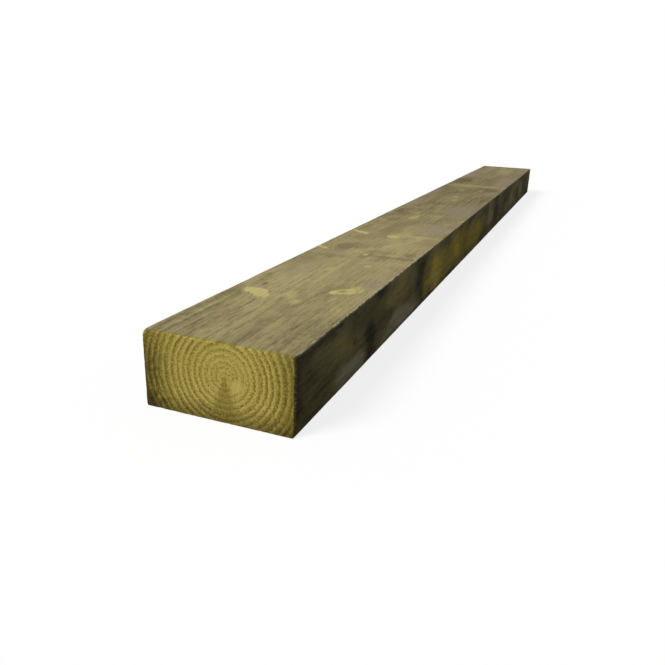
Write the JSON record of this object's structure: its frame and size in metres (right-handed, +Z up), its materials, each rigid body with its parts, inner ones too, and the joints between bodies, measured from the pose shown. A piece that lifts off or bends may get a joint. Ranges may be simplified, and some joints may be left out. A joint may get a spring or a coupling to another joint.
{
  "type": "railway sleeper",
  "caption": "Straight rectangular sawn timber sleeper of pressure-treated softwood with eased long edges and square-cut ends, for edging, steps and raised beds.",
  "frame": {"origin": "centre of the broad underside that the sleeper lies on", "axes": "+X along the length, +Y across the width, +Z up through the thickness"},
  "size_m": [2.4, 0.2, 0.1],
  "materials": {
    "treated_timber": "rough-sawn, pressure-treated, olive to grey-brown"
  },
  "bodies": {
    "root": {"sleeper": "treated_timber"}
  },
  "joints": []
}
